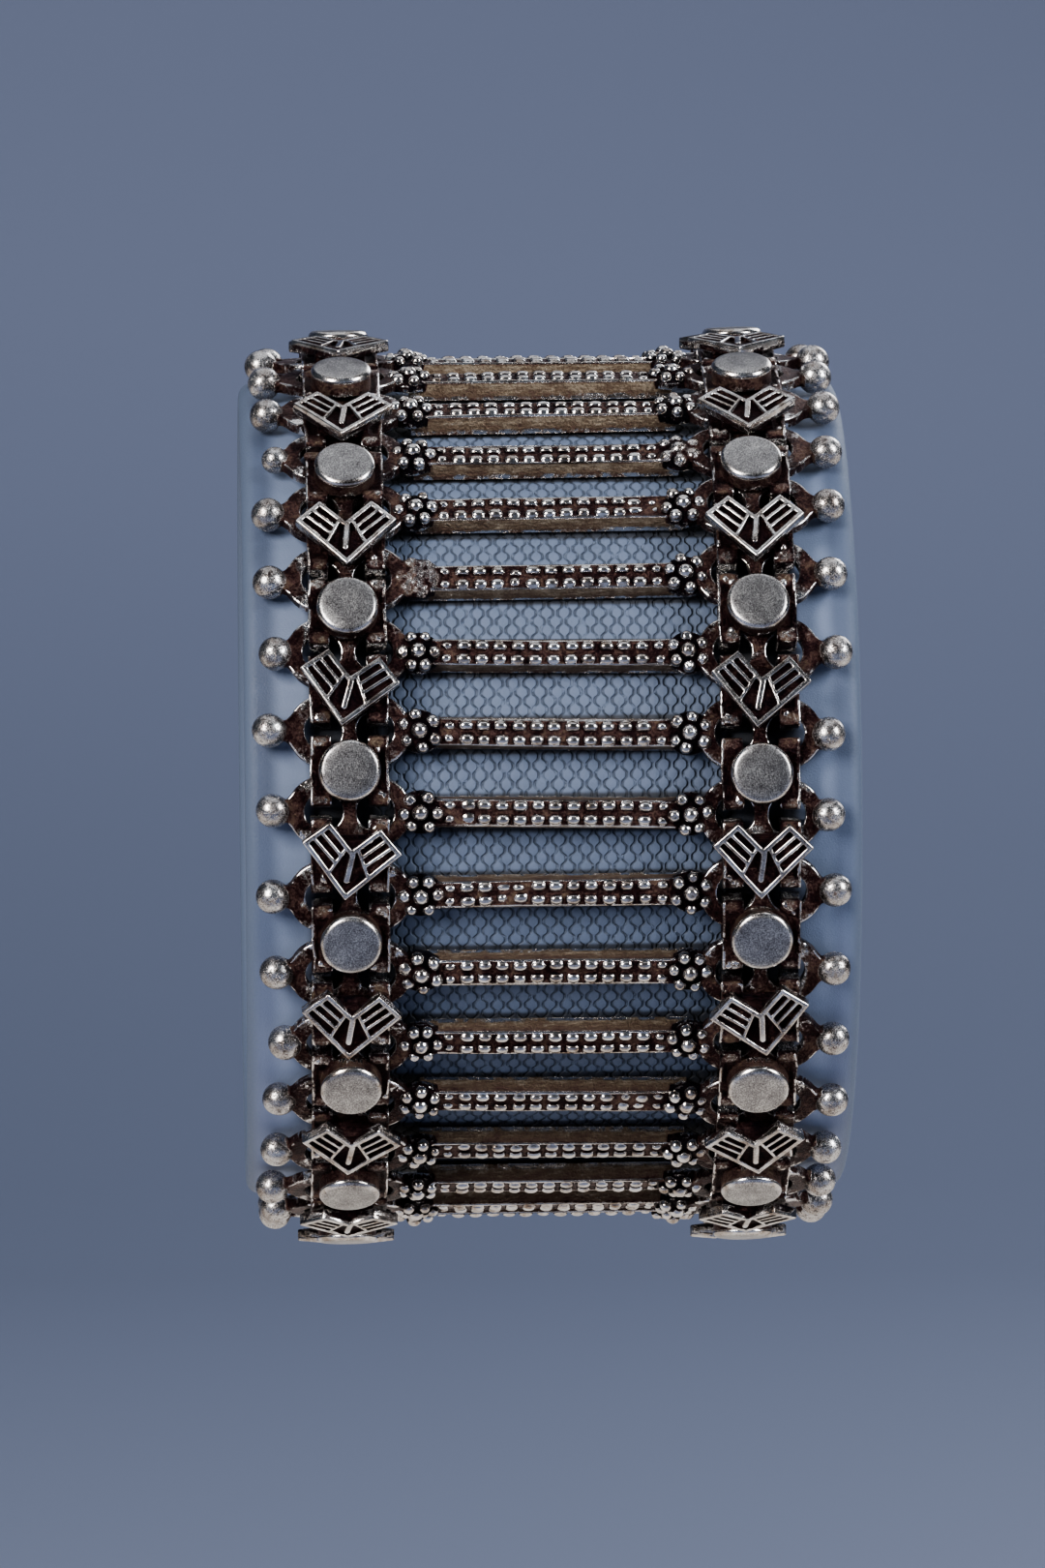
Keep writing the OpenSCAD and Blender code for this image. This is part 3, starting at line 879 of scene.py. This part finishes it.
class Nodes:
    """A material's nodes, made and linked in short calls."""

    def __init__(self, name):
        self.material = bpy.data.materials.new(name)
        self.material.use_nodes = True
        self.tree = self.material.node_tree
        self.tree.nodes.clear()
        self.shader = self.tree.nodes.new("ShaderNodeBsdfPrincipled")
        output = self.tree.nodes.new("ShaderNodeOutputMaterial")
        self.link(self.shader.outputs[0], output.inputs[0])

    def link(self, a, b):
        self.tree.links.new(a, b)

    def put(self, socket, value):
        if isinstance(value, bpy.types.NodeSocket):
            self.link(value, socket)
        else:
            socket.default_value = value

    def value(self, name):
        node = self.tree.nodes.new("ShaderNodeAttribute")
        node.attribute_name = name
        return node.outputs["Fac"]

    def place(self, scale=(1, 1, 1)):
        """Position in the row frame in millimetres, stretched by a scale."""
        at = self.tree.nodes.new("ShaderNodeTexCoord")
        node = self.tree.nodes.new("ShaderNodeVectorMath")
        node.operation = "MULTIPLY"
        self.link(at.outputs["Object"], node.inputs[0])
        node.inputs[1].default_value = [v / MM for v in scale]
        return node.outputs[0]

    def parts(self, vector):
        node = self.tree.nodes.new("ShaderNodeSeparateXYZ")
        self.link(vector, node.inputs[0])
        return node.outputs

    def noise(self, vector, scale, detail=3.0, rough=0.55):
        node = self.tree.nodes.new("ShaderNodeTexNoise")
        self.link(vector, node.inputs["Vector"])
        node.inputs["Scale"].default_value = scale
        node.inputs["Detail"].default_value = detail
        node.inputs["Roughness"].default_value = rough
        return node.outputs["Fac"]

    def math(self, operation, a, b=0.0):
        node = self.tree.nodes.new("ShaderNodeMath")
        node.operation = operation
        self.put(node.inputs[0], a)
        self.put(node.inputs[1], b)
        return node.outputs[0]

    def ramp(self, value, low, high, to_low=0.0, to_high=1.0):
        """A smooth way from one value to another between two places."""
        node = self.tree.nodes.new("ShaderNodeMapRange")
        node.interpolation_type = "SMOOTHSTEP"
        self.put(node.inputs["Value"], value)
        node.inputs["From Min"].default_value = low
        node.inputs["From Max"].default_value = high
        node.inputs["To Min"].default_value = to_low
        node.inputs["To Max"].default_value = to_high
        return node.outputs["Result"]

    def colours(self, value, *stops):
        """A colour from a ramp, given as places on it and the colours there."""
        node = self.tree.nodes.new("ShaderNodeValToRGB")
        self.link(value, node.inputs[0])
        elements = node.color_ramp.elements
        while len(elements) < len(stops):
            elements.new(0.5)
        for element, (at, colour) in zip(elements, stops):
            element.position = at
            element.color = (*colour, 1)
        return node.outputs[0]

    def mix(self, share, a, b):
        node = self.tree.nodes.new("ShaderNodeMix")
        node.data_type = "RGBA"
        self.put(node.inputs["Factor"], share)
        self.put(node.inputs[6], a)
        self.put(node.inputs[7], b)
        return node.outputs[2]

    def bump(self, height, distance, strength=1.0, under=None):
        node = self.tree.nodes.new("ShaderNodeBump")
        node.inputs["Strength"].default_value = strength
        node.inputs["Distance"].default_value = distance
        self.link(height, node.inputs["Height"])
        if under is not None:
            self.link(under, node.inputs["Normal"])
        return node.outputs[0]


def silver(name):
    """Cast silver with dark tarnish in its hollows, worn bright where it stands out."""
    n = Nodes(name)
    place = n.place()
    cloud = n.noise(place, 0.9, 4.0)
    grain = n.noise(place, 5.0, 5.0, 0.65)
    fine = n.noise(place, 12.0, 3.0, 0.6)
    streak = n.noise(n.place((0.6, 3.4, 3.4)), 1.6, 5.0, 0.7)
    scratch = n.noise(n.place((2.4, 1.0, 1.0)), 6.0, 6.0, 0.7)
    hue, satin, shine = n.value("hue"), n.value("satin"), n.value("shine")
    cloud_off, grain_off = n.math("SUBTRACT", cloud, 0.5), n.math("SUBTRACT", grain, 0.5)
    # Worn bright: what stands out, sharp edges, and streaks along the bars' sides
    edge = n.math("MULTIPLY", n.ramp(n.value("edge"), 0.3, 0.8), n.ramp(cloud, 0.38, 0.6, 0.35, 1.0))
    sides = n.ramp(hue, 0.62, 0.78)
    rubbed_side = n.math("MULTIPLY", sides, n.ramp(streak, 0.52, 0.68, 0.0, 0.34))
    rubbed_part = n.math("MAXIMUM", edge, rubbed_side)
    stands = n.math("MAXIMUM", n.math("MULTIPLY", shine, 1.25), rubbed_part)
    bright = n.math("SUBTRACT", stands, n.ramp(n.value("hollow"), 0.08, 0.75, 0.0, 1.2))
    speck = n.math("MULTIPLY", grain_off, n.ramp(shine, 0.5, 1.0, 1.8, 0.7))
    bright = n.ramp(n.math("ADD", bright, speck), 0.3, 0.75)
    # Tarnish, mottled, and streaked along the bars' sides
    along = n.math("MULTIPLY", n.math("SUBTRACT", streak, 0.5), sides)
    mottle = n.math("ADD", grain_off, cloud_off)
    mottle = n.math("MULTIPLY", mottle, n.ramp(sides, 0.0, 1.0, 1.25, 0.5))
    shade = n.math("ADD", n.math("MULTIPLY", along, 0.9), mottle)
    # The hue also carries the painted light on the crossbars' sides, besides the tarnish
    tarnish = n.colours(n.math("ADD", hue, shade), *TARNISH)
    # Silver, bare on what is polished, and scratched and rubbed on what is satin
    clouded = n.math("ADD", n.math("MULTIPLY", cloud, 0.6), n.math("MULTIPLY", fine, 0.4))
    scratched = n.math("ADD", n.math("MULTIPLY", scratch, 0.4), n.math("MULTIPLY", fine, 0.6))
    rubbed = n.math("ADD", scratched, n.math("MULTIPLY", cloud_off, 0.22))
    metal = n.mix(satin, n.colours(clouded, *BARE_SILVER), n.colours(rubbed, *RUBBED_SILVER))
    n.put(n.shader.inputs["Base Color"], n.mix(bright, tarnish, metal))
    n.shader.inputs["Metallic"].default_value = 1.0
    # Duller in the tarnish, pitted there and finely lined on the satin places
    polished = n.math("ADD", n.ramp(fine, 0.3, 0.7, 0.13, 0.27), n.math("MULTIPLY", satin, 0.15))
    dull = n.math("MULTIPLY", n.ramp(bright, 0.0, 1.0, 1.0, 0.0), n.ramp(sides, 0.0, 1.0, 0.16, 0.34))
    n.put(n.shader.inputs["Roughness"], n.math("ADD", polished, dull))
    pitted = n.math("MULTIPLY", grain, n.ramp(bright, 0.0, 1.0, 1.0, 0.03))
    lines = n.bump(n.math("MULTIPLY", scratch, satin), 0.02 * MM, 0.35)
    n.put(n.shader.inputs["Normal"], n.bump(pitted, 0.28 * MM, 1.0, lines))
    return n.material


def embossing(n, x, angle, place):
    """How high the cover's grain stands, from 0 in its grooves to 1: columns of round pebbles."""
    wave = n.math("COSINE", n.math("MULTIPLY", angle, PEBBLES))
    round_wave = n.math("SINE", n.math("MULTIPLY", wave, 1.5))
    drift = n.math("MULTIPLY", n.math("SUBTRACT", n.noise(place, 0.7, 2.0), 0.5), 0.28)
    across = n.math("ADD", x, drift)
    groove = n.math("ROUND", n.math("DIVIDE", across, COLUMN_STEP))
    side = n.math("COSINE", n.math("MULTIPLY", groove, math.pi))
    swing = n.math("MULTIPLY", n.math("MULTIPLY", side, round_wave), GROOVE_SWING)
    line = n.math("ADD", n.math("MULTIPLY", groove, COLUMN_STEP), swing)
    off = n.math("ABSOLUTE", n.math("SUBTRACT", across, line))
    clogged = n.ramp(n.noise(place, 1.6, 2.0), 0.45, 0.7, 0.0, 0.8)
    return n.math("MAXIMUM", n.ramp(off, 0.0, 0.15), clogged)


def leatherette():
    """Matt grey-blue cover, embossed between the chains and plain past them."""
    n = Nodes("leatherette")
    place = n.place()
    x, y, z = n.parts(place)
    out = n.math("ABSOLUTE", x)
    angle = n.math("ARCTAN2", z, n.math("MULTIPLY", y, -1.0))
    radius = n.math("SQRT", n.math("ADD", n.math("MULTIPLY", y, y), n.math("MULTIPLY", z, z)))
    outside = n.ramp(radius, ROLL_R - 1.2, ROLL_R - 0.6)
    smooth = n.math("MAXIMUM", n.ramp(out, PEBBLED_X - 0.4, PEBBLED_X), n.math("SUBTRACT", 1.0, outside))
    raised = n.math("MAXIMUM", embossing(n, x, angle, place), smooth)
    cloud = n.noise(place, 0.4, 3.0)
    grain = n.noise(place, 9.0, 4.0)
    mottle = n.math("MULTIPLY", n.math("SUBTRACT", n.math("ADD", cloud, grain), 1.0), 0.9)
    # The plain stretches past the chains carry painted shade: paler low down, darker higher up and
    # darker towards the ends, with an even tone at the rim
    painted_shade_by_height = n.ramp(z, -24, -4)
    plain = n.mix(painted_shade_by_height, (0.255, 0.31, 0.45, 1), (0.165, 0.208, 0.308, 1))
    outer = n.mix(painted_shade_by_height, (0.17, 0.21, 0.33, 1), (0.089, 0.117, 0.19, 1))
    outer = n.mix(n.ramp(z, -5, 4), outer, (0.066, 0.088, 0.145, 1))
    plain = n.mix(n.ramp(out, ROLL_L / 2 - 2.8, ROLL_L / 2 - 1.5), plain, outer)
    plain = n.mix(n.ramp(out, ROLL_L / 2 - 1.2, ROLL_L / 2 - 0.2), plain, (0.081, 0.106, 0.16, 1))
    # The embossed cover is darker in its grooves with painted shade, and mottled in its own tone
    colour = n.mix(smooth, n.colours(n.math("ADD", raised, mottle), *COVER_WITH_GROOVE_SHADE), plain)
    # Painted shadow under the chains and close beside the bars
    shade_under_chains = n.math("MULTIPLY", n.ramp(out, 11.2, 12.6), n.ramp(out, 16.6, 17.6, 1.0, 0.0))
    shade_under_chains = n.math("MULTIPLY", shade_under_chains, n.ramp(cloud, 0.3, 0.7, 0.8, 1.0))
    from_bar = n.math("PINGPONG", n.math("DIVIDE", angle, STEP), 0.5)
    from_bar = n.math("MULTIPLY", from_bar, STEP * ROLL_R)
    shadow_beside_bars = n.ramp(from_bar, FOOT_W / 2 + 0.05, FOOT_W / 2 + 0.4, 0.85, 0.0)
    shadow_beside_bars = n.math("MULTIPLY", shadow_beside_bars, n.ramp(out, 11.6, 12.6, 1.0, 0.0))
    shadow_mask = n.math("MULTIPLY", n.math("MAXIMUM", shade_under_chains, shadow_beside_bars), outside)
    n.put(n.shader.inputs["Base Color"], n.mix(shadow_mask, colour, PAINTED_SHADOW))
    n.put(n.shader.inputs["Roughness"], n.ramp(grain, 0.3, 0.7, 0.55, 0.72))
    height = n.math("ADD", raised, n.math("MULTIPLY", grain, 0.2))
    n.put(n.shader.inputs["Normal"], n.bump(height, 0.16 * MM, 1.0))
    return n.material


def stage_paper():
    """Matt paper, pale and warm under the bracelet and grey-blue round it."""
    n = Nodes("stage_paper")
    place = n.place()
    _, depth, height = n.parts(place)
    cloud = n.noise(place, 0.02, 3.0)
    pale = n.mix(cloud, (0.68, 0.63, 0.57, 1), (0.72, 0.67, 0.61, 1))
    # Painted shade on the grey-blue: darker low down, lighter higher up
    shaded_blue = n.mix(n.ramp(height, -130, 30), (0.138, 0.162, 0.238, 1), (0.187, 0.216, 0.318, 1))
    around = n.math("MAXIMUM", n.ramp(depth, 160, 460), n.ramp(depth, -150, -45, 1.0, 0.0))
    n.put(n.shader.inputs["Base Color"], n.mix(around, pale, shaded_blue))
    n.shader.inputs["Roughness"].default_value = 0.8
    return n.material


# Pieces

def make_piece(name, surfaces, material, slot, *nodes):
    """One mesh object from some surfaces, which stands for the frame's nodes."""
    points = np.concatenate([s.points for s in surfaces]) * MM
    starts = np.cumsum([0] + [len(s.points) for s in surfaces])
    faces = np.concatenate([s.faces + start for s, start in zip(surfaces, starts)])
    mesh = new_mesh(name, points, faces)
    for key in surfaces[0].values:
        layer = mesh.attributes.new(key, "FLOAT", "POINT")
        values = np.concatenate([s.values[key] for s in surfaces])
        layer.data.foreach_set("value", values.astype(np.float32))
    mesh.shade_smooth()
    if surfaces[0].normals is not None:
        mesh.normals_split_custom_set_from_vertices(np.concatenate([s.normals for s in surfaces]))
    mesh.materials.append(material)
    piece = bpy.data.objects.new(name, mesh)
    bpy.context.scene.collection.objects.link(piece)
    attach(piece, "root")
    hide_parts(*nodes)
    return piece


# Stage, camera and light

def make_stage(material):
    """A pale floor that curves up into a backdrop."""
    bend_y, bend_z = STAGE_DEEP - STAGE_BEND, FLOOR_Z + STAGE_BEND
    arc = [math.radians(a) for a in range(0, 91, 9)]
    curve = [(bend_y + STAGE_BEND * math.sin(a), bend_z - STAGE_BEND * math.cos(a)) for a in arc]
    section = [(STAGE_NEAR, FLOOR_Z), *curve, (STAGE_DEEP, STAGE_TOP)]
    points = np.array([(x, y, z) for y, z in section for x in (-STAGE_HALF_W, STAGE_HALF_W)])
    rows = np.arange(len(section) - 1) * 2
    mesh = new_mesh("stage", points, np.stack([rows, rows + 1, rows + 3, rows + 2], 1))
    mesh.shade_smooth()
    mesh.materials.append(material)
    stage = bpy.data.objects.new("stage", mesh)
    bpy.context.scene.collection.objects.link(stage)


def make_camera():
    data = bpy.data.cameras.new("camera")
    data.sensor_fit = "VERTICAL"
    data.sensor_height = 36
    data.lens = PX_PER_MM * CAMERA_MM * data.sensor_height / PHOTO_H
    data.clip_start, data.clip_end = 0.01, 10
    camera = bpy.data.objects.new("camera", data)
    bpy.context.scene.collection.objects.link(camera)
    left, up = math.radians(CAMERA_LEFT_DEG), math.radians(CAMERA_UP_DEG)
    back = Vector((-math.sin(left) * math.cos(up), -math.cos(left) * math.cos(up), math.sin(up)))
    turn = back.to_track_quat("Z", "Y") @ Quaternion((0, 0, 1), -math.radians(CAMERA_LEAN_DEG))
    off = [(PHOTO_W / 2 - MIDDLE_PX[0]) / PX_PER_MM, (MIDDLE_PX[1] - PHOTO_H / 2) / PX_PER_MM, CAMERA_MM]
    camera.rotation_euler = turn.to_euler()
    camera.location = turn @ Vector(off) * MM
    bpy.context.scene.camera = camera


def make_light(name, place, size, power, colour):
    """A softbox that faces the bracelet."""
    data = bpy.data.lights.new(name, "AREA")
    data.shape = "RECTANGLE"
    data.size, data.size_y = size
    data.energy = power
    data.color = colour
    light = bpy.data.objects.new(name, data)
    bpy.context.scene.collection.objects.link(light)
    light.location = place
    light.rotation_euler = Vector(place).to_track_quat("Z", "Y").to_euler()


def make_world():
    world = bpy.data.worlds.new("room")
    world.use_nodes = True
    background = world.node_tree.nodes["Background"]
    background.inputs["Color"].default_value = ROOM_LIGHT
    background.inputs["Strength"].default_value = 0.13
    bpy.context.scene.world = world
    bpy.context.scene.view_settings.look = "AgX - Medium High Contrast"


make_camera()
make_world()
make_light("softbox_left", (-0.58, -0.74, 0.40), (0.32, 0.55), 14, WARM_LIGHT)
make_light("softbox_right", (0.80, -0.50, 0.42), (0.32, 0.5), 11, COOL_LIGHT)
make_light("softbox_top", (0, 0.15, 0.9), (1.0, 1.3), 3.7, COOL_LIGHT)
make_light("softbox_back", (0.55, 0.8, 0.55), (0.5, 0.5), 5, COOL_LIGHT)
make_stage(stage_paper())

cast = silver("cast_silver")
for i in range(BAR_COUNT):
    angle, turn, balls = BAR_PLACES[i]
    shape = crossbar_surface(signed(i), balls).placed(angle, turn=turn)
    node = "crossbar_%02d" % (i + 1)
    make_piece("cast_" + node, [shape], cast, "crossbar_silver", node)
linked = silver("link_silver")
make_piece("cast_left_chain", chain_surfaces(-1), linked, "link_silver", "left_chain")
make_piece("cast_right_chain", chain_surfaces(1), linked, "link_silver", "right_chain")
make_piece("plain_clasp", [clasp_surface()], linked, "link_silver", "clasp")
roll = make_piece("roll_cover", [roll_surface()], leatherette(), "roll_cover", "display_roll")
